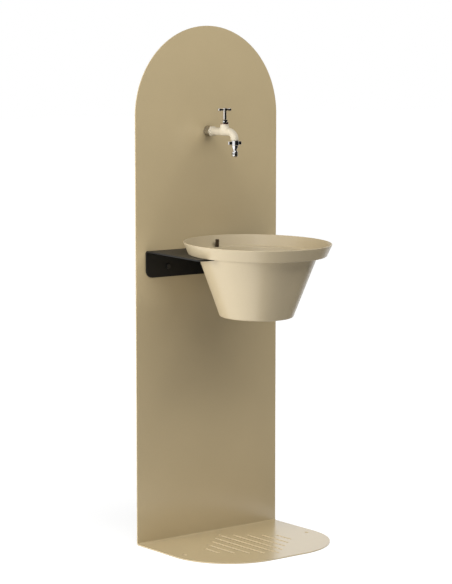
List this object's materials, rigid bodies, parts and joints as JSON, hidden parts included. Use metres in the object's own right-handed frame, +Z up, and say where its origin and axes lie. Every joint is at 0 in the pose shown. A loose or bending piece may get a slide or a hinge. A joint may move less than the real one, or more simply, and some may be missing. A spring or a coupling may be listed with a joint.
{
  "type": "garden standpipe",
  "caption": "Free-standing garden tap post: arched folded sheet with a slotted base, bib tap with tee handle and hose nipple, and a conical basin that lifts out of a forked bracket.",
  "frame": {"origin": "on the floor, midway between the two ground-anchor holes in the base", "axes": "+Z up, the front with the tap and basin faces -Y, +X to the right seen from the front"},
  "size_m": [0.48, 0.4474, 1.3919],
  "materials": {
    "sand_coat": "satin powder coat, fine texture",
    "black_coat": "matt powder coat",
    "black_fastener": "blackened steel",
    "basin_plastic": "moulded, satin",
    "cream_paint": "semi-gloss enamel",
    "chrome": "polished plating",
    "brass": "machined",
    "black_rubber": "matt",
    "red_fibre": "pressed fibre"
  },
  "bodies": {
    "stand": {"stand_sheet": "sand_coat", "basin_bracket": "black_coat", "bracket_bolts": "black_fastener", "bracket_washers": "black_fastener", "bracket_nuts": "black_fastener", "locating_stud": "black_fastener", "stud_washer": "black_fastener", "stud_nut": "black_fastener", "wall_rosette": "chrome", "tap_body": "cream_paint", "panel_washer": "black_rubber", "back_nut": "brass", "bonnet": "chrome", "bonnet_washer": "red_fibre", "gland_packing": "black_rubber", "gland_nut": "chrome"},
    "valve": {"jumper_valve": "brass", "valve_washer": "black_rubber", "washer_nut": "brass"},
    "spindle": {"spindle": "brass", "tee_handle": "chrome", "handle_screw": "chrome"},
    "basin": {"basin": "basin_plastic"},
    "plug": {"drain_plug": "black_rubber"},
    "outlet_seal": {"outlet_washer": "black_rubber"},
    "connector": {"hose_connector": "chrome", "connector_o_ring": "black_rubber"}
  },
  "joints": [
    {"name": "valve_lift", "type": "slide", "parent": "stand", "child": "valve", "axis": [0, 0, 1], "range_m": [0, 0.003]},
    {"name": "handle_turn", "type": "hinge", "parent": "valve", "child": "spindle", "pos_m": [0, 0.099, 1.11], "axis": [0, 0, 1], "range_deg": [0, 540]},
    {"name": "basin_lift", "type": "slide", "parent": "stand", "child": "basin", "axis": [0, -0.0262, 0.9997], "range_m": [0, 0.19]},
    {"name": "plug_lift", "type": "slide", "parent": "basin", "child": "plug", "axis": [0, -0.0262, 0.9997], "range_m": [0, 0.15]},
    {"name": "connector_drop", "type": "slide", "parent": "stand", "child": "outlet_seal", "axis": [0, 0, 1], "range_m": [-0.00267, 0]},
    {"name": "connector_turn", "type": "hinge", "parent": "outlet_seal", "child": "connector", "pos_m": [0, 0.055, 1.08], "axis": [0, 0, 1], "range_deg": [-720, 0]}
  ],
  "couplings": [
    {"joint": "handle_turn", "follows": "valve_lift", "rad_per_m": 3141.6},
    {"joint": "connector_turn", "follows": "connector_drop", "rad_per_m": 4699}
  ]
}
